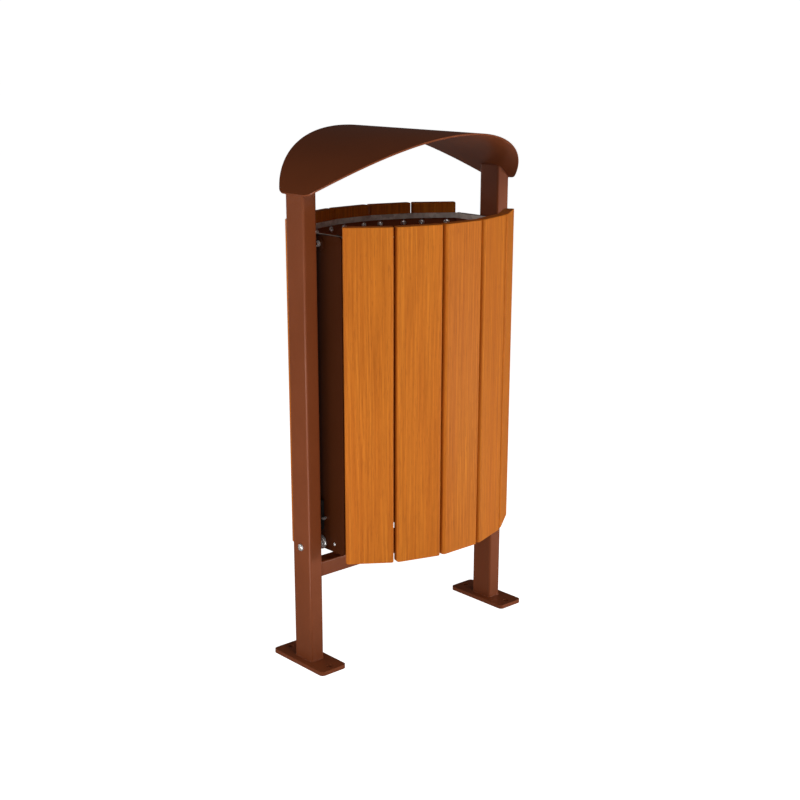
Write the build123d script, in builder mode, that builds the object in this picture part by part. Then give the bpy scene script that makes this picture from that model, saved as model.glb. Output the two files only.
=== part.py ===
from build123d import *
from math import asin, cos, degrees, radians, sin, sqrt
import os

# Litter bin: a slatted body that tips forward between two posts, under an arched canopy.
# Millimetres. X runs from the left post to the right post, -Y is the front, Z is up.
# The origin is on the ground, midway between the two base plates.

os.makedirs("parts", exist_ok=True)

# Frame
POST_X = 240.0            # centre of each post
POST_W = 30.0             # post width along X
POST_D = 50.0             # post depth along Y
POST_R = 4.0              # outer corner radius of the tube
TUBE_WALL = 2.0
PLATE_W = 60.0
PLATE_L = 150.0
PLATE_T = 8.0
PLATE_R = 8.0
ANCHOR_SPAN = 120.0       # between the two anchor holes of one plate
ANCHOR_R = 6.0
BAR_SIZE = 30.0           # square cross bar
BAR_R = 3.0
BAR_Z = 170.0             # underside of the cross bar

# Canopy: an arched sheet whose outline in plan is a lens
ARCH_R = 384.0            # outside radius of the arch
ARCH_TOP = 983.0
SHEET_T = 3.0
TIP_X = 257.0             # outer end of each tip
LENS_R = 312.0            # radius of the two edges in plan
LENS_HALF = 173.0         # half depth of the lens at its middle
TIP_R = 28.0

# Bin body: two arcs of flat slats, each slat turned by one step from the next
BODY_Y = 1.0              # the body hangs a little behind the pivot, so it rests upright
SLAT_COUNT = 5
STEP = radians(17.85)     # angle between neighbouring slats
FACE_R = 304.0            # from the arc's centre to the outer faces of the slats
HALF_DEPTH = 165.0        # from the body's middle plane to the outer face of the middle slat
SLAT_W = 88.0
SLAT_T = 20.0
SLAT_EDGE_R = 5.0         # rounding of the long edges; the ends are cut square
SLAT_END_BREAK = 0.8
SLAT_Z0 = 212.0
SLAT_Z1 = 830.0
PANEL_X = 205.0           # outer face of each end panel
PANEL_T = 3.0
PANEL_HALF = 67.2
PANEL_Z0 = 222.0
PANEL_Z1 = 811.0
PANEL_R = 6.0
HOOP_T = 4.0
HOOP_TAB = 32.0           # inner end of each hoop's tab, from the middle plane
TOP_HOOP = (778.0, 808.0)
BOTTOM_HOOP = (226.0, 272.0)
FLOOR_Z = 282.0
FLOOR_T = 3.0
FLOOR_GAP = 6.0           # between the floor's edge and the slats
FLANGE_HALF = 22.0
FLANGE_H = 20.0
DRAIN_R = 6.0
DRAIN_X = 110.0
DRAIN_Y = 60.0

# Fasteners, pivot, stops
SCREW_R = 3.0
SCREW_HEAD_R = 6.0
SCREW_HEAD_H = 3.3
SCREW_HALF = 25.0         # from the slat's middle to each screw
SCREW_BITE = 14.0
PILOT_DEPTH = 16.0
RIVET_R = 2.0
RIVET_HEAD_R = 3.2
RIVET_Y = 38.5
RIVET_Z = 238.0
PIVOT_Z = 234.0
BOLT_R = 4.0
BOLT_HEAD_R = 7.0
BOLT_HEAD_H = 4.4
BOLT_END_X = 187.0
BOLT_HOLE_R = 4.2
SPACER_R = 14.0
BUSH_R = 8.0
BUSH_FLANGE_R = 13.0
BUSH_FLANGE_T = 3.0
WASHER_R = 10.0
WASHER_T = 1.6
NUT_FLATS = 13.0
NUT_H = 6.5
FIT = 0.05                # radial clearance of a running fit
GAP = 0.3                 # clearance between faces that move past each other
STOP_X = 206.0            # inner end of the stop block
STOP_Y = (-10.0, 12.0)
STOP_Z = (262.0, 318.0)
STOP_CHAMFER = 1.5
PIN_R = 2.5
PIN_OUT = 9.0
REST_PIN_Z = 284.0
TILT_MAX = radians(40.0)
TILT_CONTACT = 60.0       # height above the pivot where the tilt pin meets the block

# Latch and bag ring
LATCH_Y = -6.0
LATCH_Z = 795.0
LATCH_R = 4.0
LATCH_TIP_X = 212.0
LATCH_HOLE_R = 4.5
LATCH_BUSH_R = 5.5
LATCH_BUSH_X = (213.0, 191.0)
LATCH_PLATE_R = 13.0
LATCH_PLATE_T = 2.0
KNOB_X = (172.5, 160.5)
KNOB_R = 11.0
KNOB_EDGE_R = 3.0
RING_T = 4.0
RING_Z = (801.0, 811.0)
RING_GAP = 0.6            # between the ring and the hoops
REST_LENGTH = 14.0
REST_DEPTH = 10.0
REST_T = 3.0
REST_Y = 21.0             # centre of each ring rest, from the middle plane

# Worked out from the above
ARC_Y = FACE_R - HALF_DEPTH
ARCH_Z = ARCH_TOP - ARCH_R
HOOP_R = FACE_R - SLAT_T
PANEL_IN = PANEL_X - PANEL_T
POST_IN = POST_X - POST_W / 2
POST_OUT = POST_X + POST_W / 2
SIDES = {"left": -1, "right": 1}
FACES = {"front": 1, "back": -1}
MIDDLE = (SLAT_COUNT - 1) / 2


def save(builder, name):
    builder.part.label = name
    export_step(builder.part, f"parts/{name}.step")


def side_plane(side, x, y, z):
    """Plane across X at the given distance on one side, facing outwards."""
    return Plane(origin=(side * x, y, z), x_dir=(0, side, 0), z_dir=(side, 0, 0))


def facet_plane(face, number, radius):
    """Upright plane of one facet, facing outwards, with its own Y up from the ground."""
    turn = number * STEP
    normal = Vector(face * sin(turn), -face * cos(turn), 0)
    along = Vector(face * cos(turn), face * sin(turn), 0)
    centre = Vector(0, BODY_Y + face * ARC_Y, 0)
    return Plane(origin=centre + normal * radius, x_dir=along, z_dir=normal)


def body_plane(face, z):
    """Level plane about the body's middle; its own front is the chosen face."""
    return Plane(origin=(0, BODY_Y, z), x_dir=(face, 0, 0), z_dir=(0, 0, 1))


def facet_line(radius, end_x):
    """Bent line of the front facets at one radius, from one end panel to the other."""
    corner_r = radius / cos(STEP / 2)
    turns = [(number + 0.5 - MIDDLE) * STEP for number in range(SLAT_COUNT - 1)]
    corners = [(corner_r * sin(turn), ARC_Y - corner_r * cos(turn)) for turn in turns]
    last = MIDDLE * STEP
    end_y = ARC_Y - (radius - end_x * sin(last)) / cos(last)
    return [(-end_x, end_y), *corners, (end_x, end_y)]


def closed_line(radius, end_x):
    """The front line and its mirror image, as one closed outline."""
    front = facet_line(radius, end_x)
    back = [(x, -y) for x, y in reversed(front)]
    return front + back


# ---------------------------------------------------------------- frame

for name, side in SIDES.items():
    with BuildPart() as base_plate:
        with BuildSketch(Plane(origin=(side * POST_X, 0, 0))):
            RectangleRounded(PLATE_W, PLATE_L, PLATE_R)
            with GridLocations(0, ANCHOR_SPAN, 1, 2):
                Circle(ANCHOR_R, mode=Mode.SUBTRACT)
        extrude(amount=PLATE_T)
    save(base_plate, f"{name}_base_plate")

for name, side in SIDES.items():
    with BuildPart() as post:
        with BuildSketch(Plane(origin=(side * POST_X, 0, PLATE_T))):
            RectangleRounded(POST_W, POST_D, POST_R)
            RectangleRounded(
                POST_W - 2 * TUBE_WALL, POST_D - 2 * TUBE_WALL, POST_R - TUBE_WALL, mode=Mode.SUBTRACT
            )
        extrude(amount=ARCH_TOP - PLATE_T)
        # the top is cut to the underside of the canopy
        with BuildSketch(Plane.XZ):
            with Locations((0, ARCH_Z)):
                Rectangle(2 * ARCH_R, 2 * ARCH_R, align=(Align.CENTER, Align.MIN))
                Circle(ARCH_R - SHEET_T, mode=Mode.SUBTRACT)
        extrude(amount=POST_D, both=True, mode=Mode.SUBTRACT)
        with BuildSketch(side_plane(side, POST_OUT, 0, PIVOT_Z)):
            Circle(BOLT_HOLE_R)
        extrude(amount=-POST_W, mode=Mode.SUBTRACT)
        if name == "left":
            with BuildSketch(side_plane(side, POST_IN, LATCH_Y, LATCH_Z)):
                Circle(LATCH_HOLE_R)
            extrude(amount=TUBE_WALL, mode=Mode.SUBTRACT)
    save(post, f"{name}_post")

with BuildPart() as cross_bar:
    with BuildSketch(Plane(origin=(-POST_IN, 0, BAR_Z + BAR_SIZE / 2), x_dir=(0, 1, 0), z_dir=(1, 0, 0))):
        RectangleRounded(BAR_SIZE, BAR_SIZE, BAR_R)
        inside = BAR_SIZE - 2 * TUBE_WALL
        RectangleRounded(inside, inside, BAR_R - TUBE_WALL, mode=Mode.SUBTRACT)
    extrude(amount=2 * POST_IN)
save(cross_bar, "cross_bar")

with BuildPart() as canopy:
    with BuildSketch(Plane.XZ):
        end_turn = degrees(asin(TIP_X / ARCH_R))
        with BuildLine():
            CenterArc((0, ARCH_Z), ARCH_R, 90 - end_turn, 2 * end_turn)
            CenterArc((0, ARCH_Z), ARCH_R - SHEET_T, 90 - end_turn, 2 * end_turn)
            for turn in (-radians(end_turn), radians(end_turn)):
                Line(
                    (ARCH_R * sin(turn), ARCH_Z + ARCH_R * cos(turn)),
                    ((ARCH_R - SHEET_T) * sin(turn), ARCH_Z + (ARCH_R - SHEET_T) * cos(turn)),
                )
        make_face()
    extrude(amount=LENS_HALF, both=True)
    with BuildSketch(Plane.XY.offset(ARCH_Z)):
        with Locations((0, LENS_HALF - LENS_R)):
            Circle(LENS_R)
        with Locations((0, LENS_R - LENS_HALF)):
            Circle(LENS_R, mode=Mode.INTERSECT)
        Rectangle(2 * TIP_X, 2 * LENS_HALF, mode=Mode.INTERSECT)
        tips = [v for v in vertices() if abs(v.X) > POST_IN]
        fillet(tips, radius=TIP_R)
    extrude(amount=ARCH_R, mode=Mode.INTERSECT)
save(canopy, "canopy")

with BuildPart() as pivot_bolts:
    for side in SIDES.values():
        with BuildSketch(side_plane(side, POST_OUT, 0, PIVOT_Z)):
            Circle(BOLT_HEAD_R)
        head = extrude(amount=BOLT_HEAD_H)
        fillet(head.faces().sort_by(Axis.X)[-1 if side > 0 else 0].edges(), radius=BOLT_HEAD_H / 2)
        with BuildSketch(side_plane(side, POST_OUT + BOLT_HEAD_H, 0, PIVOT_Z)):
            RegularPolygon(BOLT_R * 0.7, 6)
        extrude(amount=-BOLT_HEAD_H / 2, mode=Mode.SUBTRACT)
        with BuildSketch(side_plane(side, POST_OUT, 0, PIVOT_Z)):
            Circle(BOLT_R)
        extrude(amount=BOLT_END_X - POST_OUT)
save(pivot_bolts, "pivot_bolts")

with BuildPart() as pivot_spacers:
    for side in SIDES.values():
        with BuildSketch(side_plane(side, POST_IN, 0, PIVOT_Z)):
            Circle(SPACER_R)
            Circle(BOLT_HOLE_R, mode=Mode.SUBTRACT)
        extrude(amount=PANEL_X + GAP - POST_IN)
save(pivot_spacers, "pivot_spacers")

WASHER_X = PANEL_IN - BUSH_FLANGE_T - GAP

with BuildPart() as pivot_washers:
    for side in SIDES.values():
        with BuildSketch(side_plane(side, WASHER_X, 0, PIVOT_Z)):
            Circle(WASHER_R)
            Circle(BOLT_HOLE_R, mode=Mode.SUBTRACT)
        extrude(amount=-WASHER_T)
save(pivot_washers, "pivot_washers")

with BuildPart() as pivot_nuts:
    for side in SIDES.values():
        with BuildSketch(side_plane(side, WASHER_X - WASHER_T, 0, PIVOT_Z)):
            RegularPolygon(NUT_FLATS / 2, 6, major_radius=False)
            Circle(BOLT_R + FIT, mode=Mode.SUBTRACT)
        extrude(amount=-NUT_H)
save(pivot_nuts, "pivot_nuts")

with BuildPart() as stop_blocks:
    for side in SIDES.values():
        middle_y = (STOP_Y[0] + STOP_Y[1]) / 2
        middle_z = (STOP_Z[0] + STOP_Z[1]) / 2
        with BuildSketch(side_plane(side, POST_IN, middle_y, middle_z)):
            Rectangle(STOP_Y[1] - STOP_Y[0], STOP_Z[1] - STOP_Z[0])
        block = extrude(amount=STOP_X - POST_IN)
        inner_face = block.faces().sort_by(Axis.X)[0 if side > 0 else -1]
        chamfer(inner_face.edges(), length=STOP_CHAMFER)
save(stop_blocks, "stop_blocks")

# ---------------------------------------------------------------- bin body

REST_PIN_Y = STOP_Y[0] - PIN_R - GAP
CONTACT_Y = STOP_Y[1] + PIN_R + GAP
TILT_PIN_Y = CONTACT_Y * cos(TILT_MAX) + TILT_CONTACT * sin(TILT_MAX)
TILT_PIN_Z = PIVOT_Z - CONTACT_Y * sin(TILT_MAX) + TILT_CONTACT * cos(TILT_MAX)
RIVET_YS = (BODY_Y - RIVET_Y, BODY_Y + RIVET_Y)

for name, side in SIDES.items():
    with BuildPart() as end_panel:
        panel_h = PANEL_Z1 - PANEL_Z0
        with BuildSketch(side_plane(side, PANEL_X, BODY_Y, PANEL_Z0 + panel_h / 2)):
            RectangleRounded(2 * PANEL_HALF, panel_h, PANEL_R)
        extrude(amount=-PANEL_T)
        with BuildSketch(side_plane(side, PANEL_X, 0, 0)):
            with Locations((0, PIVOT_Z)):
                Circle(BUSH_R)
            with Locations((side * REST_PIN_Y, REST_PIN_Z), (side * TILT_PIN_Y, TILT_PIN_Z)):
                Circle(PIN_R)
            with Locations(*[(side * y, RIVET_Z) for y in RIVET_YS]):
                Circle(RIVET_R)
            if name == "left":
                with Locations((side * LATCH_Y, LATCH_Z)):
                    Circle(LATCH_BUSH_R)
        extrude(amount=-PANEL_T, mode=Mode.SUBTRACT)
    save(end_panel, f"{name}_end_panel")

for name, face in FACES.items():
    for level, (low, high) in {"top": TOP_HOOP, "bottom": BOTTOM_HOOP}.items():
        with BuildPart() as hoop:
            with BuildSketch(body_plane(face, low)):
                with BuildLine():
                    Polyline(
                        (-PANEL_IN, -HOOP_TAB),
                        *facet_line(HOOP_R, PANEL_IN),
                        (PANEL_IN, -HOOP_TAB),
                        (PANEL_IN - HOOP_T, -HOOP_TAB),
                        *reversed(facet_line(HOOP_R - HOOP_T, PANEL_IN - HOOP_T)),
                        (HOOP_T - PANEL_IN, -HOOP_TAB),
                        close=True,
                    )
                make_face()
            extrude(amount=high - low)
            for number in range(SLAT_COUNT):
                with BuildSketch(facet_plane(face, number - MIDDLE, HOOP_R)):
                    with Locations((-SCREW_HALF, (low + high) / 2), (SCREW_HALF, (low + high) / 2)):
                        Circle(SCREW_R)
                extrude(amount=-HOOP_T, mode=Mode.SUBTRACT)
            if level == "bottom":
                for side in SIDES.values():
                    with BuildSketch(side_plane(side, PANEL_IN, BODY_Y - face * RIVET_Y, RIVET_Z)):
                        Circle(RIVET_R)
                    extrude(amount=-HOOP_T, mode=Mode.SUBTRACT)
        save(hoop, f"{name}_{level}_hoop")

with BuildPart() as floor_plate:
    with BuildSketch(body_plane(1, FLOOR_Z)):
        with BuildLine():
            Polyline(*closed_line(HOOP_R - FLOOR_GAP, PANEL_IN), close=True)
        make_face()
        with GridLocations(2 * DRAIN_X, 2 * DRAIN_Y, 2, 2):
            Circle(DRAIN_R, mode=Mode.SUBTRACT)
    extrude(amount=FLOOR_T)
    # each end is folded down against its end panel
    for side in SIDES.values():
        with BuildSketch(side_plane(side, PANEL_IN, BODY_Y, FLOOR_Z)):
            Rectangle(2 * FLANGE_HALF, FLANGE_H, align=(Align.CENTER, Align.MAX))
        extrude(amount=-FLOOR_T)
save(floor_plate, "floor_plate")

HOOP_MIDDLES = [(low + high) / 2 for low, high in (TOP_HOOP, BOTTOM_HOOP)]
SCREW_PLACES = [(u, z) for u in (-SCREW_HALF, SCREW_HALF) for z in HOOP_MIDDLES]

for name, face in FACES.items():
    for number in range(SLAT_COUNT):
        facet = facet_plane(face, number - MIDDLE, HOOP_R + SLAT_T / 2)
        with BuildPart() as slat:
            with BuildSketch(Plane(origin=facet.from_local_coords((0, SLAT_Z0, 0)), x_dir=facet.x_dir)):
                RectangleRounded(SLAT_W, SLAT_T, SLAT_EDGE_R)
            extrude(amount=SLAT_Z1 - SLAT_Z0)
            ends = faces().filter_by(Axis.Z)
            chamfer(ends.edges(), length=SLAT_END_BREAK)
            with BuildSketch(facet_plane(face, number - MIDDLE, HOOP_R)):
                with Locations(*SCREW_PLACES):
                    Circle(SCREW_R)
            extrude(amount=PILOT_DEPTH, mode=Mode.SUBTRACT)
        save(slat, f"{name}_slat_{number + 1}")

with BuildPart() as slat_screws:
    for face in FACES.values():
        for number in range(SLAT_COUNT):
            seat = facet_plane(face, number - MIDDLE, HOOP_R - HOOP_T)
            with BuildSketch(seat):
                with Locations(*SCREW_PLACES):
                    Circle(SCREW_HEAD_R)
            extrude(amount=-SCREW_HEAD_H)
            with BuildSketch(seat):
                with Locations(*SCREW_PLACES):
                    Circle(SCREW_R - FIT)
            extrude(amount=HOOP_T + SCREW_BITE)
save(slat_screws, "slat_screws")

with BuildPart() as pivot_bushes:
    for side in SIDES.values():
        with BuildSketch(side_plane(side, PANEL_X, 0, PIVOT_Z)):
            Circle(BUSH_R)
            Circle(BOLT_R + FIT, mode=Mode.SUBTRACT)
        extrude(amount=-PANEL_T)
        with BuildSketch(side_plane(side, PANEL_IN, 0, PIVOT_Z)):
            Circle(BUSH_FLANGE_R)
            Circle(BOLT_R + FIT, mode=Mode.SUBTRACT)
        extrude(amount=-BUSH_FLANGE_T)
save(pivot_bushes, "pivot_bushes")

for name, y, z in (("rest_pins", REST_PIN_Y, REST_PIN_Z), ("tilt_pins", TILT_PIN_Y, TILT_PIN_Z)):
    with BuildPart() as stop_pins:
        for side in SIDES.values():
            with BuildSketch(side_plane(side, PANEL_IN, y, z)):
                Circle(PIN_R)
            extrude(amount=PANEL_T + PIN_OUT)
    save(stop_pins, name)

with BuildPart() as hoop_rivets:
    for side in SIDES.values():
        for y in RIVET_YS:
            with BuildSketch(side_plane(side, PANEL_X, y, RIVET_Z)):
                Circle(RIVET_HEAD_R)
            extrude(amount=RIVET_R)
            with BuildSketch(side_plane(side, PANEL_X, y, RIVET_Z)):
                Circle(RIVET_R)
            extrude(amount=-PANEL_T - HOOP_T)
            with BuildSketch(side_plane(side, PANEL_IN - HOOP_T, y, RIVET_Z)):
                Circle(RIVET_HEAD_R)
            extrude(amount=-RIVET_R)
save(hoop_rivets, "hoop_rivets")

with BuildPart() as latch_bush:
    with BuildSketch(side_plane(-1, LATCH_BUSH_X[0], LATCH_Y, LATCH_Z)):
        Circle(LATCH_BUSH_R)
        Circle(LATCH_R + FIT, mode=Mode.SUBTRACT)
    extrude(amount=LATCH_BUSH_X[1] - LATCH_BUSH_X[0])
save(latch_bush, "latch_bush")

with BuildPart() as latch_plate:
    with BuildSketch(side_plane(-1, PANEL_X, LATCH_Y, LATCH_Z)):
        Circle(LATCH_PLATE_R)
        Circle(LATCH_BUSH_R, mode=Mode.SUBTRACT)
    extrude(amount=LATCH_PLATE_T)
save(latch_plate, "latch_plate")

with BuildPart() as ring_rests:
    for side in SIDES.values():
        for y in (BODY_Y - REST_Y, BODY_Y + REST_Y):
            with BuildSketch(side_plane(side, PANEL_IN, y, RING_Z[0] - GAP)):
                Rectangle(REST_LENGTH, REST_T, align=(Align.CENTER, Align.MAX))
            extrude(amount=-REST_DEPTH)
save(ring_rests, "ring_rests")

# ---------------------------------------------------------------- latch pin, bag ring

with BuildPart() as latch_pin:
    with BuildSketch(side_plane(-1, LATCH_TIP_X, LATCH_Y, LATCH_Z)):
        Circle(LATCH_R)
    extrude(amount=KNOB_X[0] - LATCH_TIP_X)
    chamfer(faces().sort_by(Axis.X)[0].edges(), length=1.0)
save(latch_pin, "latch_pin")

with BuildPart() as latch_knob:
    with BuildSketch(side_plane(-1, KNOB_X[0], LATCH_Y, LATCH_Z)):
        Circle(KNOB_R)
    extrude(amount=KNOB_X[1] - KNOB_X[0])
    fillet(edges(), radius=KNOB_EDGE_R)
save(latch_knob, "latch_knob")

with BuildPart() as bag_ring:
    ring_r = HOOP_R - HOOP_T - RING_GAP
    ring_x = PANEL_IN - HOOP_T - RING_GAP
    with BuildSketch(body_plane(1, RING_Z[0])):
        with BuildLine():
            Polyline(*closed_line(ring_r, ring_x), close=True)
        make_face()
        with BuildLine():
            Polyline(*closed_line(ring_r - RING_T, ring_x - RING_T), close=True)
        make_face(mode=Mode.SUBTRACT)
    extrude(amount=RING_Z[1] - RING_Z[0])
save(bag_ring, "bag_ring")
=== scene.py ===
import random
from math import acos, asin, cos, pi, radians, sin, sqrt

import bmesh
import bpy
from mathutils import Matrix, Vector


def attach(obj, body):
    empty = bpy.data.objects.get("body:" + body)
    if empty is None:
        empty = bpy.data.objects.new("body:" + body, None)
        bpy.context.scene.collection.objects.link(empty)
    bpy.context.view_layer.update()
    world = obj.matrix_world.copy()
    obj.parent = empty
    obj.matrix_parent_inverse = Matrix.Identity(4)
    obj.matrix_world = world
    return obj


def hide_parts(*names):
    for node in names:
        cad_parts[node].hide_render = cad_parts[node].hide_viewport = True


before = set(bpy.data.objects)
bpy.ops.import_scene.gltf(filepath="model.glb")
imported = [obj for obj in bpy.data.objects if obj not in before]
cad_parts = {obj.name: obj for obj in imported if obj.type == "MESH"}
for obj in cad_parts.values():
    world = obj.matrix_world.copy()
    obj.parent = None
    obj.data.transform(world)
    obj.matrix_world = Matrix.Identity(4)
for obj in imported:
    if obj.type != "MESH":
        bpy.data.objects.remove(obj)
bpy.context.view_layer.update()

# Litter bin: a slatted body between two painted posts, under an arched canopy. Metres.

MM = 0.001
SCREW_TURNS = random.Random(35)

# ---------------------------------------------------------------- sizes shared with the frame

POST_X = 240 * MM
POST_W = 30 * MM
POST_D = 50 * MM
POST_R = 4 * MM
PLATE_W = 60 * MM
PLATE_L = 150 * MM
PLATE_T = 8 * MM
PLATE_R = 8 * MM
ANCHOR_Y = 60 * MM
ANCHOR_R = 6 * MM
BAR_SIZE = 30 * MM
BAR_R = 3 * MM
BAR_Z = 170 * MM

ARCH_R = 384 * MM
ARCH_Z = 599 * MM
SHEET_T = 3 * MM
TIP_X = 257 * MM
LENS_R = 312 * MM
LENS_HALF = 173 * MM
TIP_R = 28 * MM

BODY_Y = 1 * MM
ARC_Y = 139 * MM
STEP = radians(17.85)
HOOP_R = 284 * MM
HOOP_T = 4 * MM
SLAT_T = 20 * MM
SCREW_R = 2.95 * MM
SCREW_HEAD_R = 6 * MM
SCREW_HEAD_H = 3.3 * MM
SCREW_HALF = 25 * MM
SCREW_ZS = (793 * MM, 249 * MM)
SCREW_BITE = 14 * MM
SCREW_SOCKET = 4 * MM
SCREW_SOCKET_DEPTH = 1.7 * MM
SCREW_POINT = 2.5 * MM

PANEL_X = 205 * MM
RIVET_Y = 38.5 * MM
RIVET_Z = 238 * MM
RIVET_R = 3.2 * MM
RIVET_H = 2 * MM
RIVET_SHANK_R = 2 * MM
RIVET_BACK_X = 198 * MM
PIVOT_Z = 234 * MM
POST_OUT = 255 * MM
BOLT_HEAD_R = 7 * MM
BOLT_HEAD_H = 4.4 * MM
BOLT_R = 4 * MM
BOLT_END_X = 187 * MM
BOLT_SOCKET = 5 * MM
BOLT_SOCKET_DEPTH = 2.4 * MM
BOLT_CHAMFER = 0.8 * MM
DRILL_CONE = 0.5 * MM
SPACER_R = 14 * MM
SPACER_BORE = 4.2 * MM
SPACER_IN = 205.3 * MM
SPACER_LENGTH = 19.7 * MM
SPACER_STACK = (
    (0.0, 3.0 * MM, SPACER_R),
    (3.6 * MM, 4.8 * MM, 10.5 * MM),
    (5.4 * MM, 8.6 * MM, 13.0 * MM),
    (9.2 * MM, 10.4 * MM, 9.5 * MM),
    (11.0 * MM, 14.2 * MM, 13.0 * MM),
    (14.8 * MM, 16.1 * MM, 10.5 * MM),
    (16.7 * MM, SPACER_LENGTH, SPACER_R),
)
SPACER_EDGE = 0.4 * MM
NUT_X = 197.1 * MM
NUT_H = 6.5 * MM
NUT_FLATS = 13 * MM
NUT_COLLAR = 2.2 * MM
THREAD_GAP = 0.05 * MM

SOFT_EDGE = 0.9 * MM
WELD_R = 1.2 * MM
WELD_STEP = 1.0 * MM
WELD_RIPPLE = 4
SHARP_ANGLE = radians(35)

SIDES = {"left": -1, "right": 1}
FACES = {"front": 1, "back": -1}

# ---------------------------------------------------------------- camera, world, lights

LENS = 62.18
SENSOR = 36.0
SHIFT_X = 0.0077
SHIFT_Y = 0.0872
CAMERA_PLACE = (-1.73596, -1.91820, 1.14121)
CAMERA_TILT = radians(72.64)
CAMERA_TURN = radians(-41.76)

camera_data = bpy.data.cameras.new("camera")
camera_data.lens = LENS
camera_data.sensor_width = SENSOR
camera_data.shift_x = SHIFT_X
camera_data.shift_y = SHIFT_Y
camera_data.clip_end = 200.0
camera = bpy.data.objects.new("camera", camera_data)
camera.location = CAMERA_PLACE
camera.rotation_euler = (CAMERA_TILT, 0.0, CAMERA_TURN)
bpy.context.scene.collection.objects.link(camera)
bpy.context.scene.camera = camera
bpy.context.scene.view_settings.view_transform = "Standard"

HORIZON_LIGHT = 0.05
SKY_LIGHT = 0.03
HORIZON_END = sin(radians(6))
SKY_START = sin(radians(24))
BACKDROP = 1.05
FLOOR_GLOW = 0.28
FLOOR_WHITE = 0.98
FLOOR_MIRRORED = 0.2
FLOOR_HALF = 40.0


def make_world():
    """Dim light, a little stronger near the horizon; plain white behind the object."""
    world = bpy.data.worlds.new("studio")
    bpy.context.scene.world = world
    world.use_nodes = True
    tree = world.node_tree
    tree.nodes.clear()
    coords = tree.nodes.new("ShaderNodeTexCoord")
    split = tree.nodes.new("ShaderNodeSeparateXYZ")
    height = tree.nodes.new("ShaderNodeMapRange")
    height.interpolation_type = "SMOOTHSTEP"
    height.inputs["From Min"].default_value = HORIZON_END
    height.inputs["From Max"].default_value = SKY_START
    height.inputs["To Min"].default_value = HORIZON_LIGHT
    height.inputs["To Max"].default_value = SKY_LIGHT
    light = tree.nodes.new("ShaderNodeBackground")
    backdrop = tree.nodes.new("ShaderNodeBackground")
    backdrop.inputs["Strength"].default_value = BACKDROP
    for node in (light, backdrop):
        node.inputs["Color"].default_value = (1.0, 1.0, 1.0, 1.0)
    path = tree.nodes.new("ShaderNodeLightPath")
    choose = tree.nodes.new("ShaderNodeMixShader")
    out = tree.nodes.new("ShaderNodeOutputWorld")
    tree.links.new(coords.outputs["Generated"], split.inputs[0])
    tree.links.new(split.outputs["Z"], height.inputs["Value"])
    tree.links.new(height.outputs["Result"], light.inputs["Strength"])
    tree.links.new(path.outputs["Is Camera Ray"], choose.inputs[0])
    tree.links.new(light.outputs[0], choose.inputs[1])
    tree.links.new(backdrop.outputs[0], choose.inputs[2])
    tree.links.new(choose.outputs[0], out.inputs["Surface"])


def lamp(name, place, turn, width, height, power):
    """Rectangular lamp that the camera does not see."""
    data = bpy.data.lights.new(name, "AREA")
    data.shape = "RECTANGLE"
    data.size = width
    data.size_y = height
    data.energy = power
    made = bpy.data.objects.new(name, data)
    made.location = place
    made.rotation_euler = turn
    made.visible_camera = False
    bpy.context.scene.collection.objects.link(made)


# name, azimuth, elevation, distance, height of the point it faces on the bin's axis, width, height, power;
# azimuth 0 is in front of the bin and 90 to its left
LAMPS = (
    ("front_high", 10, 45, 2.4, 0.45, 0.8, 0.8, 13.8),
    ("front_key", 15, 12, 2.4, 0.45, 0.8, 0.8, 4.0),
    ("left_back", 122, 22, 2.4, 0.45, 0.8, 0.8, 8.0),
    ("left_low", 88, 4, 1.8, 0.08, 0.8, 0.25, 8.0),
    ("right_low", -42, 4, 1.8, 0.08, 0.8, 0.25, 17.0),
    ("back_fill", 170, 8, 2.4, 0.35, 0.8, 0.6, 4.0),
)

make_world()
for name, azimuth, elevation, distance, aim, width, height, power in LAMPS:
    side, rise = radians(azimuth), radians(elevation)
    target = Vector((0.0, 0.0, aim))
    reach = Vector((-sin(side) * cos(rise), -cos(side) * cos(rise), sin(rise))) * distance
    lamp(name, target + reach, (-reach).to_track_quat("-Z", "Y").to_euler(), width, height, power)

# a long strip lying on the floor in front of the left post: a line of light along upright edges
STRIP_AZIMUTH = radians(50)
STRIP_START = 0.35
STRIP_LENGTH = 7.7
STRIP_WIDTH = 0.25
STRIP_Z = 0.02
STRIP_POWER = 42.0
outwards = Vector((-sin(STRIP_AZIMUTH), -cos(STRIP_AZIMUTH), 0.0))
strip_place = Vector((-POST_X, 0.0, STRIP_Z)) + outwards * (STRIP_START + STRIP_LENGTH / 2)
lamp("floor_strip", strip_place, (pi, 0.0, -STRIP_AZIMUTH), STRIP_WIDTH, STRIP_LENGTH, STRIP_POWER)

# ---------------------------------------------------------------- material building


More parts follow.
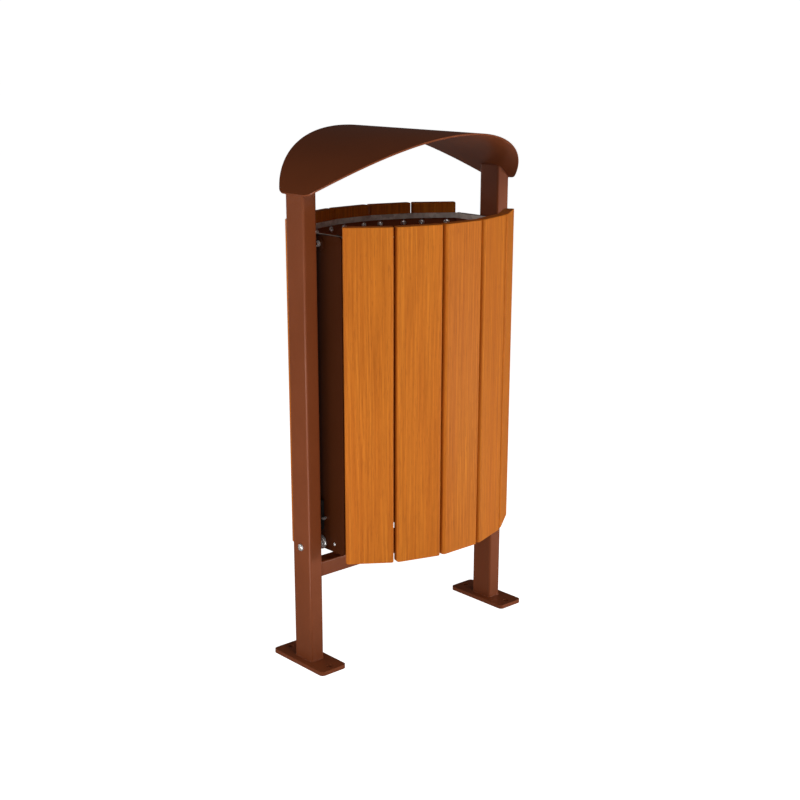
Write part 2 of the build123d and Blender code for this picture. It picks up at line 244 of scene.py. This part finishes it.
class Graph:
    """One material and short ways to add nodes to it."""

    def __init__(self, name):
        self.material = bpy.data.materials.new(name)
        self.material.use_nodes = True
        self.tree = self.material.node_tree
        self.surface = self.tree.nodes["Principled BSDF"]

    def put(self, socket, value):
        if isinstance(value, bpy.types.NodeSocket):
            self.tree.links.new(value, socket)
        else:
            socket.default_value = value

    def node(self, kind, values=None, **settings):
        made = self.tree.nodes.new(kind)
        for key, value in settings.items():
            setattr(made, key, value)
        for key, value in (values or {}).items():
            self.put(made.inputs[key], value)
        return made

    def coords(self, output="Object"):
        return self.node("ShaderNodeTexCoord").outputs[output]

    def place(self, vector, scale=(1, 1, 1), turn=0.0, shift=(0, 0, 0)):
        values = {"Vector": vector, "Scale": scale, "Rotation": (0, 0, turn), "Location": shift}
        return self.node("ShaderNodeMapping", values).outputs[0]

    def noise(self, vector, scale, detail=2.0, rough=0.5, warp=0.0):
        values = {"Vector": vector, "Scale": scale, "Detail": detail, "Roughness": rough, "Distortion": warp}
        return self.node("ShaderNodeTexNoise", values).outputs[0]

    def round_normal(self, radius):
        return self.node("ShaderNodeBevel", {"Radius": radius}, samples=4).outputs[0]

    def span(self, value, low, high, to_low=0.0, to_high=1.0, smooth=False):
        values = {"Value": value, "From Min": low, "From Max": high, "To Min": to_low, "To Max": to_high}
        kind = "SMOOTHSTEP" if smooth else "LINEAR"
        return self.node("ShaderNodeMapRange", values, interpolation_type=kind).outputs[0]

    def math(self, operation, a, b=0.0):
        return self.node("ShaderNodeMath", {0: a, 1: b}, operation=operation).outputs[0]

    def mix(self, share, a, b):
        made = self.node("ShaderNodeMix", data_type="RGBA")
        self.put(made.inputs[0], share)
        self.put(made.inputs[6], a)
        self.put(made.inputs[7], b)
        return made.outputs[2]

    def bump(self, height, depth, strength=1.0, normal=None):
        values = {"Height": height, "Distance": depth, "Strength": strength}
        if normal is not None:
            values["Normal"] = normal
        return self.node("ShaderNodeBump", values).outputs[0]

    def finish(self, **values):
        for key, value in values.items():
            self.put(self.surface.inputs[key.replace("_", " ")], value)
        return self.material


def colour(r, g, b, gain=1.0):
    return (r * gain, g * gain, b * gain, 1.0)


def painted_steel(name, depth, gloss, coat):
    """Brown powder coat: fine grain, slight mottling, rounded paint on every edge; depth scales the whole
    colour down, and a low depth is painted shade.
    """
    g = Graph(name)
    where = g.coords()
    mottle = g.noise(where, 9.0, 3.0, 0.55)
    grain = g.noise(where, 750.0, 2.0, 0.6)
    peel = g.noise(where, 330.0, 2.0, 0.5)
    darker = colour(0.192, 0.0450, 0.0118, depth)
    lighter = colour(0.218, 0.0525, 0.0145, depth)
    base = g.mix(g.span(mottle, 0.3, 0.7), darker, lighter)
    tone = g.mix(g.span(grain, 0.3, 0.7, 0.0, 0.4), base, colour(0.236, 0.060, 0.0175, depth))
    normal = g.bump(peel, 0.35 * MM, 0.35, g.round_normal(0.9 * MM))
    normal = g.bump(grain, 0.1 * MM, 0.5, normal)
    rough = g.span(mottle, 0.2, 0.8, 0.36, 0.46)
    return g.finish(
        Base_Color=tone,
        Metallic=0.1,
        Roughness=rough,
        Normal=normal,
        Specular_IOR_Level=gloss,
        Coat_Weight=coat,
        Coat_Roughness=0.2,
    )


RING_SPACING = 7.5 * MM


def oiled_wood(name, turn, centre, seed):
    """Fine straight-grained hardwood, in the board's own frame: X across, Y through, Z along the grain."""
    pick = random.Random(seed)
    g = Graph(name)
    spun = Matrix.Rotation(-turn, 3, "Z") @ centre
    board = g.place(g.coords(), turn=-turn, shift=(-spun.x, -spun.y, pick.uniform(0.0, 6.0)))
    board = g.place(board, shift=(pick.uniform(1.0, 9.0), pick.uniform(1.0, 9.0), 0.0))

    wander = g.noise(g.place(board, (7.0, 7.0, 1.3)), 1.0, 2.0, 0.5)
    split = g.node("ShaderNodeSeparateXYZ", {0: board})
    lean = g.math("MULTIPLY", split.outputs["Z"], pick.uniform(-0.02, 0.02))
    across = g.math("ADD", split.outputs["X"], g.math("ADD", lean, g.math("MULTIPLY", wander, 0.05)))
    depth = g.math("MULTIPLY", split.outputs["Y"], 0.6)
    rings = g.math("SINE", g.math("MULTIPLY", g.math("ADD", across, depth), 2 * pi / RING_SPACING))

    fibres = g.noise(g.place(board, (430.0, 430.0, 7.0)), 1.0, 4.0, 0.62, 0.25)
    strands = g.noise(g.place(board, (150.0, 150.0, 2.6)), 1.0, 3.0, 0.55, 0.3)
    pores = g.noise(g.place(board, (1050.0, 1050.0, 55.0)), 1.0, 1.0, 0.4)
    tone = g.noise(g.place(board, (13.0, 13.0, 1.7)), 1.0, 2.0, 0.5)

    pale = colour(0.66, 0.212, 0.022)
    deep = colour(0.49, 0.130, 0.0110)
    red = colour(0.56, 0.148, 0.0150)
    base = g.mix(g.span(strands, 0.3, 0.7), deep, pale)
    base = g.mix(g.span(tone, 0.35, 0.72, 0.0, 0.55), base, red)
    ring_share = g.span(rings, -1.0, 1.0, 0.0, 0.24)
    base = g.mix(ring_share, base, colour(0.38, 0.094, 0.008))
    fibre_share = g.span(fibres, 0.32, 0.56, 0.55, 0.0)
    base = g.mix(fibre_share, base, colour(0.33, 0.078, 0.007))
    pore_share = g.span(pores, 0.28, 0.40, 0.3, 0.0, True)
    base = g.mix(pore_share, base, colour(0.20, 0.042, 0.006))

    facing = g.node("ShaderNodeSeparateXYZ", {0: g.coords("Normal")})
    end = g.span(g.math("ABSOLUTE", facing.outputs["Z"]), 0.75, 0.95, 0.0, 1.0, True)
    end_rings = g.noise(g.place(board, (330.0, 330.0, 330.0)), 1.0, 3.0, 0.6)
    end_tone = g.mix(g.span(end_rings, 0.3, 0.7), colour(0.27, 0.072, 0.012), colour(0.47, 0.14, 0.024))
    base = g.mix(end, base, end_tone)

    relief = g.math("SUBTRACT", g.math("MULTIPLY", fibres, 0.6), g.math("MULTIPLY", pore_share, 1.4))
    normal = g.bump(relief, 0.3 * MM, 0.45)
    rough = g.span(strands, 0.2, 0.8, 0.52, 0.66)
    return g.finish(Base_Color=base, Roughness=rough, Normal=normal, IOR=1.46, Specular_IOR_Level=0.08)


def galvanised_steel(name):
    """Zinc coating: flat spangles of slightly different grey, some dull bloom."""
    g = Graph(name)
    where = g.coords()
    cells = g.node("ShaderNodeTexVoronoi", {"Vector": where, "Scale": 120.0})
    spangle = g.node("ShaderNodeSeparateXYZ", {0: cells.outputs["Color"]}).outputs[0]
    bloom = g.noise(where, 45.0, 4.0, 0.6)
    scratch = g.noise(g.place(where, (60.0, 60.0, 900.0)), 1.0, 2.0, 0.5)
    base = g.mix(spangle, colour(0.50, 0.45, 0.41), colour(0.74, 0.68, 0.62))
    base = g.mix(g.span(bloom, 0.45, 0.75, 0.0, 0.5), base, colour(0.52, 0.48, 0.44))
    rough = g.math("ADD", g.span(spangle, 0.0, 1.0, 0.34, 0.48), g.span(bloom, 0.3, 0.8, 0.0, 0.14))
    relief = g.math("ADD", g.math("MULTIPLY", bloom, 0.6), g.math("MULTIPLY", scratch, 0.3))
    normal = g.bump(relief, 0.1 * MM, 0.5, g.round_normal(0.6 * MM))
    return g.finish(Base_Color=base, Metallic=0.35, Roughness=rough, Normal=normal)


def stainless_steel(name):
    """Turned stainless fasteners: fine machining lines and faint smudges."""
    g = Graph(name)
    where = g.coords()
    lines = g.noise(g.place(where, (2200.0, 300.0, 300.0)), 1.0, 2.0, 0.5)
    smudge = g.noise(where, 160.0, 3.0, 0.6)
    base = g.mix(g.span(smudge, 0.35, 0.7), colour(0.80, 0.79, 0.78), colour(0.64, 0.63, 0.62))
    rough = g.math("ADD", g.span(lines, 0.3, 0.7, 0.2, 0.3), g.span(smudge, 0.4, 0.8, 0.0, 0.12))
    normal = g.bump(lines, 0.03 * MM, 0.5)
    return g.finish(Base_Color=base, Metallic=0.8, Roughness=rough, Normal=normal)


def black_plastic(name):
    """Moulded nylon: spark-eroded grain, faint scuffs."""
    g = Graph(name)
    where = g.coords()
    grain = g.noise(where, 1400.0, 2.0, 0.6)
    scuff = g.noise(where, 70.0, 4.0, 0.65)
    base = g.mix(g.span(scuff, 0.4, 0.75), colour(0.008, 0.007, 0.007), colour(0.020, 0.017, 0.016))
    rough = g.math("ADD", g.span(grain, 0.3, 0.7, 0.42, 0.5), g.span(scuff, 0.4, 0.8, 0.0, 0.15))
    normal = g.bump(grain, 0.08 * MM, 0.6, g.round_normal(0.7 * MM))
    return g.finish(Base_Color=base, Roughness=rough, Normal=normal, IOR=1.5, Specular_IOR_Level=0.12)


def pale_floor(name):
    """White studio floor with a glow of its own, so that it stays white to the camera."""
    g = Graph(name)
    wash = g.noise(g.coords(), 1.3, 3.0, 0.5)
    base = g.mix(g.span(wash, 0.3, 0.7), colour(0.80, 0.80, 0.80), colour(0.84, 0.84, 0.84))
    path = g.node("ShaderNodeLightPath")
    mirrored = path.outputs["Is Glossy Ray"]
    base = g.mix(mirrored, base, colour(1.0, 1.0, 1.0, FLOOR_MIRRORED))
    glow = g.span(path.outputs["Is Camera Ray"], 0.0, 1.0, FLOOR_GLOW, FLOOR_WHITE)
    glow = g.math("MULTIPLY", glow, g.span(mirrored, 0.0, 1.0, 1.0, FLOOR_MIRRORED))
    g.finish(Base_Color=base, Roughness=0.9, Emission_Color=colour(1.0, 1.0, 1.0), Emission_Strength=glow)
    g.material.cycles.emission_sampling = "NONE"
    return g.material


PAINT = painted_steel("brown_paint", 1.0, 0.2, 0.16)
# painted shade: the same brown paint at about a quarter of its brightness, for the end panels and latch
# plate in the shaded gap beside the posts
SHADE_DARKENED_PAINT = painted_steel("brown_paint_darkened_for_shade", 0.27, 0.05, 0.0)
ZINC = galvanised_steel("galvanised")
STAINLESS = stainless_steel("stainless")
PLASTIC = black_plastic("black_plastic")

# ---------------------------------------------------------------- mesh building


def add_object(name, mesh, material, body, stands_for=()):
    made = bpy.data.objects.new(name, mesh)
    bpy.context.scene.collection.objects.link(made)
    mesh.materials.clear()
    mesh.materials.append(material)
    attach(made, body)
    if stands_for:
        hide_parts(*stands_for)
    return made


def mesh_from(name, bm, smooth=True):
    bmesh.ops.recalc_face_normals(bm, faces=bm.faces)
    for face in bm.faces:
        face.smooth = smooth
    mesh = bpy.data.meshes.new(name)
    bm.to_mesh(mesh)
    bm.free()
    return mesh


def round_edges(obj):
    bevel = obj.modifiers.new("edge", "BEVEL")
    bevel.width = SOFT_EDGE
    bevel.segments = 3
    bevel.limit_method = "ANGLE"
    bevel.angle_limit = radians(40)
    bevel.harden_normals = True


def rounded_box_outline(width, length, radius, segments=8):
    points = []
    for quarter, (sx, sy) in enumerate(((1, 1), (-1, 1), (-1, -1), (1, -1))):
        for i in range(segments + 1):
            a = (quarter + i / segments) * pi / 2
            x = sx * (width / 2 - radius) + radius * cos(a)
            y = sy * (length / 2 - radius) + radius * sin(a)
            points.append((x, y))
    return points


def circle_outline(x, y, radius, segments=32):
    turns = [2 * pi * i / segments for i in range(segments)]
    return [(x + radius * cos(turn), y + radius * sin(turn)) for turn in turns]


def pierced_plate(name, outline, holes, thickness, matrix):
    """Flat plate with holes; its lower face lies in the matrix's XY plane."""
    bm = bmesh.new()
    edges = []
    for loop in (outline, *holes):
        verts = [bm.verts.new((x, y, 0.0)) for x, y in loop]
        edges += [bm.edges.new((verts[i - 1], verts[i])) for i in range(len(verts))]
    bmesh.ops.triangle_fill(bm, use_beauty=True, edges=edges)
    bmesh.ops.recalc_face_normals(bm, faces=bm.faces)
    lower = list(bm.faces)
    lifted = bmesh.ops.extrude_face_region(bm, geom=lower)
    verts = [v for v in lifted["geom"] if isinstance(v, bmesh.types.BMVert)]
    bmesh.ops.translate(bm, verts=verts, vec=(0.0, 0.0, thickness))
    bmesh.ops.transform(bm, matrix=matrix, verts=bm.verts)
    return mesh_from(name, bm)


def lathe(bm, rings, matrix, segments=24, cap_start=True, cap_end=True):
    """Rings of (radius or radius function of angle, height) about the matrix's Z axis."""
    loops = []
    for radius, height in rings:
        loop = []
        for i in range(segments):
            a = 2 * pi * i / segments
            r = radius(a) if callable(radius) else radius
            loop.append(bm.verts.new(matrix @ Vector((r * cos(a), r * sin(a), height))))
        loops.append(loop)
    for lower, upper in zip(loops, loops[1:]):
        for i in range(segments):
            bm.faces.new((lower[i - 1], lower[i], upper[i], upper[i - 1]))
    if cap_start:
        bm.faces.new(list(reversed(loops[0])))
    if cap_end:
        bm.faces.new(loops[-1])


def hexagon(flats):
    """Radius of a hexagon, measured across its flats, at any angle."""
    return lambda a: flats / 2 / cos((a + pi / 6) % (pi / 3) - pi / 6)


def facet_matrix(face, number, radius, u, z):
    """Frame on one facet of the body: X along the facet, Z outwards."""
    turn = number * STEP
    normal = Vector((face * sin(turn), -face * cos(turn), 0.0))
    along = Vector((face * cos(turn), face * sin(turn), 0.0))
    up = Vector((0.0, 0.0, 1.0))
    origin = Vector((0.0, BODY_Y + face * ARC_Y, z)) + normal * radius + along * u
    matrix = Matrix((along, up, normal)).transposed().to_4x4()
    matrix.translation = origin
    return matrix


def side_matrix(side, x, y, z):
    """Frame on one side of the bin: Z points away from the bin's middle."""
    matrix = Matrix(((0.0, 0.0, side), (side, 0.0, 0.0), (0.0, 1.0, 0.0))).to_4x4()
    matrix.translation = Vector((side * x, y, z))
    return matrix


# ---------------------------------------------------------------- canopy


def lens_half(x):
    """Half depth of the canopy's plan outline at one x."""
    x = abs(x)
    centre_x = TIP_X - TIP_R
    drop = LENS_R - LENS_HALF
    reach = LENS_R - TIP_R
    centre_y = sqrt(reach**2 - centre_x**2) - drop
    if x <= centre_x * LENS_R / reach:
        return sqrt(LENS_R**2 - x**2) - drop
    return centre_y + sqrt(max(TIP_R**2 - (x - centre_x) ** 2, 0.0))


ARCH_STEPS = 90
TIP_STEPS = 8
CANOPY_ROWS = 40


def canopy_mesh():
    """Rolled sheet, cut to a lens in plan; its edges stay square to the sheet."""
    tip_start = (TIP_X - TIP_R) * LENS_R / (LENS_R - TIP_R)
    end_turn = asin(tip_start / ARCH_R)
    xs = [ARCH_R * sin(end_turn * i / ARCH_STEPS) for i in range(ARCH_STEPS + 1)]
    start = acos((tip_start - (TIP_X - TIP_R)) / TIP_R)
    xs += [TIP_X - TIP_R + TIP_R * cos(start * (1 - i / TIP_STEPS)) for i in range(1, TIP_STEPS + 1)]
    xs = [-x for x in reversed(xs[1:])] + xs
    rows = CANOPY_ROWS
    bm = bmesh.new()
    skins = []
    for radius in (ARCH_R, ARCH_R - SHEET_T):
        skin = []
        for x in xs:
            turn = asin(x / ARCH_R)
            half = lens_half(x)
            column = []
            for j in range(rows + 1):
                y = half * (2 * j / rows - 1)
                column.append(bm.verts.new((radius * sin(turn), y, ARCH_Z + radius * cos(turn))))
            skin.append(column)
        skins.append(skin)
    outer, inner = skins
    for i in range(len(xs) - 1):
        for j in range(rows):
            bm.faces.new((outer[i][j], outer[i + 1][j], outer[i + 1][j + 1], outer[i][j + 1]))
            bm.faces.new((inner[i][j], inner[i][j + 1], inner[i + 1][j + 1], inner[i + 1][j]))
    for i in range(len(xs) - 1):
        for j in (0, rows):
            bm.faces.new((outer[i][j], inner[i][j], inner[i + 1][j], outer[i + 1][j]))
    for j in range(rows):
        for i in (0, len(xs) - 1):
            bm.faces.new((outer[i][j], outer[i][j + 1], inner[i][j + 1], inner[i][j]))
    return mesh_from("canopy_sheet", bm)


canopy = add_object("canopy_sheet", canopy_mesh(), PAINT, "frame", ["canopy"])
round_edges(canopy)

# ---------------------------------------------------------------- base plates and welds

for name, side in SIDES.items():
    outline = rounded_box_outline(PLATE_W, PLATE_L, PLATE_R)
    holes = [circle_outline(0.0, y, ANCHOR_R) for y in (-ANCHOR_Y, ANCHOR_Y)]
    place = Matrix.Translation((side * POST_X, 0.0, 0.0))
    mesh = pierced_plate(f"{name}_foot", outline, holes, PLATE_T, place)
    foot = add_object(f"{name}_foot", mesh, PAINT, "frame", [f"{name}_base_plate"])
    round_edges(foot)


def resample(points, step):
    """Points every step along a closed line."""
    closed = points + points[:1]
    lengths = [(b - a).length for a, b in zip(closed, closed[1:])]
    total = sum(lengths)
    count = max(int(total / step), 8)
    made, i, passed = [], 0, 0.0
    for k in range(count):
        target = total * k / count
        while passed + lengths[i] < target:
            passed += lengths[i]
            i += 1
        made.append(closed[i].lerp(closed[i + 1], (target - passed) / lengths[i]))
    return made


def weld_bead(name, points, seed):
    """Painted fillet weld: a tube with small ripples, half sunk in the joint."""
    pick = random.Random(seed)
    line = resample([Vector(p) for p in points], WELD_STEP)
    data = bpy.data.curves.new(name, "CURVE")
    data.dimensions = "3D"
    data.bevel_depth = WELD_R
    data.bevel_resolution = 3
    data.use_fill_caps = False
    spline = data.splines.new("POLY")
    spline.points.add(len(line) - 1)
    swell = 1.0
    for i, (point, place) in enumerate(zip(spline.points, line)):
        swell += 0.25 * (1.0 - swell) + pick.uniform(-0.05, 0.05)
        point.co = (*place, 1.0)
        point.radius = swell + 0.10 * sin(i * 2 * pi / WELD_RIPPLE)
    spline.use_cyclic_u = True
    source = bpy.data.objects.new(name, data)
    bpy.context.scene.collection.objects.link(source)
    mesh = bpy.data.meshes.new_from_object(source.evaluated_get(bpy.context.evaluated_depsgraph_get()))
    bpy.data.objects.remove(source)
    for polygon in mesh.polygons:
        polygon.use_smooth = True
    add_object(name, mesh, PAINT, "frame")


def under_canopy(x):
    """Height of the canopy's underside at one x."""
    return ARCH_Z + sqrt((ARCH_R - SHEET_T) ** 2 - x**2)


for name, side in SIDES.items():
    section = [(side * POST_X + x, y) for x, y in rounded_box_outline(POST_W, POST_D, POST_R)]
    weld_bead(f"{name}_foot_weld", [(x, y, PLATE_T) for x, y in section], 11 + side)
    weld_bead(f"{name}_top_weld", [(x, y, under_canopy(x)) for x, y in section], 21 + side)
    bar_middle = BAR_Z + BAR_SIZE / 2
    bar_x = side * (POST_X - POST_W / 2)
    section = [(bar_x, y, bar_middle + z) for y, z in rounded_box_outline(BAR_SIZE, BAR_SIZE, BAR_R)]
    weld_bead(f"{name}_bar_weld", section, 31 + side)

# ---------------------------------------------------------------- fasteners


def add_fasteners(name, bm, body, node):
    """Turned metal pieces of one kind as one object, with crisp edges."""
    made = add_object(name, mesh_from(name, bm), STAINLESS, body, [node])
    made.data.set_sharp_from_angle(angle=SHARP_ANGLE)


def screw_head_rings():
    """Button head, from its seat up, then down into its hexagon socket."""
    r, h, socket = SCREW_HEAD_R, SCREW_HEAD_H, hexagon(SCREW_SOCKET)
    return [
        (r * 0.96, 0.0),
        (r, 0.3 * MM),
        (r, 0.8 * MM),
        (r * 0.96, 1.3 * MM),
        (r * 0.86, 2.0 * MM),
        (r * 0.70, 2.65 * MM),
        (r * 0.52, 3.05 * MM),
        (r * 0.42, h),
        (socket, h),
        (socket, h - SCREW_SOCKET_DEPTH),
        (0.4 * MM, h - SCREW_SOCKET_DEPTH - 0.4 * MM),
    ]


bm = bmesh.new()
screw_end = HOOP_T + SCREW_BITE
for face in FACES.values():
    for number in range(-2, 3):
        for u in (-SCREW_HALF, SCREW_HALF):
            for z in SCREW_ZS:
                seat = facet_matrix(face, number, HOOP_R - HOOP_T, u, z)
                spin = Matrix.Rotation(SCREW_TURNS.uniform(0.0, pi), 4, "Z")
                lathe(bm, screw_head_rings(), seat @ Matrix.Rotation(pi, 4, "X") @ spin)
                shank = [(SCREW_R, 0.0), (SCREW_R, screw_end - SCREW_POINT), (0.6 * MM, screw_end)]
                lathe(bm, shank, seat, 12)
add_fasteners("slat_screw_set", bm, "bin_body", "slat_screws")

RIVET_DOME = [
    (RIVET_R, 0.0),
    (RIVET_R * 0.98, 0.25 * RIVET_H),
    (RIVET_R * 0.85, 0.6 * RIVET_H),
    (RIVET_R * 0.6, 0.85 * RIVET_H),
    (RIVET_R * 0.3, 0.97 * RIVET_H),
    (0.2 * MM, RIVET_H),
]
rivet_end = PANEL_X - RIVET_BACK_X + 0.2 * MM
rivet_shank = [(RIVET_SHANK_R, -0.2 * MM), (RIVET_SHANK_R, rivet_end)]
bm = bmesh.new()
for side in SIDES.values():
    for y in (BODY_Y - RIVET_Y, BODY_Y + RIVET_Y):
        back = side_matrix(side, RIVET_BACK_X, y, RIVET_Z)
        lathe(bm, RIVET_DOME, side_matrix(side, PANEL_X, y, RIVET_Z))
        lathe(bm, RIVET_DOME, back @ Matrix.Rotation(pi, 4, "X"))
        lathe(bm, rivet_shank, back, 16)
add_fasteners("rivet_set", bm, "bin_body", "hoop_rivets")


def bolt_head_rings():
    """Button head, from under its rim up, then down into its hexagon socket."""
    r, h, socket = BOLT_HEAD_R, BOLT_HEAD_H, hexagon(BOLT_SOCKET)
    return [
        (BOLT_R, 0.0),
        (r * 0.97, 0.0),
        (r, 0.25 * MM),
        (r, 0.9 * MM),
        (r * 0.95, 1.9 * MM),
        (r * 0.84, 2.9 * MM),
        (r * 0.68, 3.75 * MM),
        (r * 0.54, 4.2 * MM),
        (r * 0.47, h),
        (socket, h),
        (socket, h - BOLT_SOCKET_DEPTH),
        (0.5 * MM, h - BOLT_SOCKET_DEPTH - DRILL_CONE),
    ]


bm = bmesh.new()
shank = [(BOLT_R, POST_OUT - BOLT_END_X), (BOLT_R, BOLT_CHAMFER), (BOLT_R - BOLT_CHAMFER, 0.0)]
for side in SIDES.values():
    lathe(bm, bolt_head_rings(), side_matrix(side, POST_OUT, 0.0, PIVOT_Z), 48, cap_start=False)
    lathe(bm, shank, side_matrix(side, BOLT_END_X, 0.0, PIVOT_Z), 24, cap_start=False)
add_fasteners("pivot_bolt_set", bm, "frame", "pivot_bolts")


def nut_rings():
    """Lock nut: a chamfered hexagon with a round collar."""
    nut, edge, bore = hexagon(NUT_FLATS), NUT_FLATS / 2, BOLT_R + THREAD_GAP
    return [
        (bore, 0.0),
        (edge, 0.0),
        (nut, 0.5 * MM),
        (nut, NUT_H - NUT_COLLAR),
        (edge, NUT_H - NUT_COLLAR + 0.3 * MM),
        (edge - 0.4 * MM, NUT_H - 0.5 * MM),
        (edge - 1.0 * MM, NUT_H),
        (bore, NUT_H),
    ]


bm = bmesh.new()
for side in SIDES.values():
    inward = side_matrix(side, NUT_X, 0.0, PIVOT_Z) @ Matrix.Rotation(pi, 4, "X")
    lathe(bm, nut_rings(), inward, 48, cap_start=False, cap_end=False)
add_fasteners("pivot_nut_set", bm, "frame", "pivot_nuts")

# each spacer is a stack on the pivot bolt: thick washers with narrower sleeves between them
rings = [(SPACER_BORE, 0.0)]
for start, end, r in SPACER_STACK:
    rings += [(r - SPACER_EDGE, start), (r, start + SPACER_EDGE)]
    rings += [(r, end - SPACER_EDGE), (r - SPACER_EDGE, end)]
rings += [(SPACER_BORE, SPACER_LENGTH), (SPACER_BORE, 0.0)]
bm = bmesh.new()
for side in SIDES.values():
    lathe(bm, rings, side_matrix(side, SPACER_IN, 0.0, PIVOT_Z), 64, cap_start=False, cap_end=False)
bmesh.ops.remove_doubles(bm, verts=bm.verts, dist=0.01 * MM)
add_fasteners("spacer_stacks", bm, "frame", "pivot_spacers")

# ---------------------------------------------------------------- finishes of the carried-over nodes


def give(node, material):
    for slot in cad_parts[node].material_slots:
        slot.material = material


ZINC_NODES = ("bag_ring",)
# painted shade: the end panels and latch plate take the darkened copy of the brown paint, not a paint of
# their own
PAINTED_SHADE_NODES = ("left_end_panel", "right_end_panel", "latch_plate")
STAINLESS_NODES = ("pivot_washers", "rest_pins", "tilt_pins", "latch_bush", "latch_pin")
PLASTIC_NODES = ("stop_blocks", "pivot_bushes", "latch_knob")
PAINTED_NODES = (
    "left_post",
    "right_post",
    "cross_bar",
    "front_top_hoop",
    "front_bottom_hoop",
    "back_top_hoop",
    "back_bottom_hoop",
    "floor_plate",
    "ring_rests",
)
for nodes, material in (
    (ZINC_NODES, ZINC),
    (STAINLESS_NODES, STAINLESS),
    (PLASTIC_NODES, PLASTIC),
    (PAINTED_NODES, PAINT),
    (PAINTED_SHADE_NODES, SHADE_DARKENED_PAINT),
):
    for node in nodes:
        give(node, material)

for face_name, face in FACES.items():
    for number in range(5):
        turn = (number - 2) * STEP
        centre = facet_matrix(face, number - 2, HOOP_R + SLAT_T / 2, 0.0, 0.0).translation
        wood = oiled_wood(f"wood_{face_name}_{number + 1}", turn, centre, 100 + 10 * number + face)
        give(f"{face_name}_slat_{number + 1}", wood)

# ---------------------------------------------------------------- floor

bm = bmesh.new()
bmesh.ops.create_grid(bm, x_segments=8, y_segments=8, size=FLOOR_HALF)
floor_mesh = mesh_from("floor", bm, False)
floor_mesh.materials.append(pale_floor("pale_floor"))
floor_object = bpy.data.objects.new("floor", floor_mesh)
bpy.context.scene.collection.objects.link(floor_object)
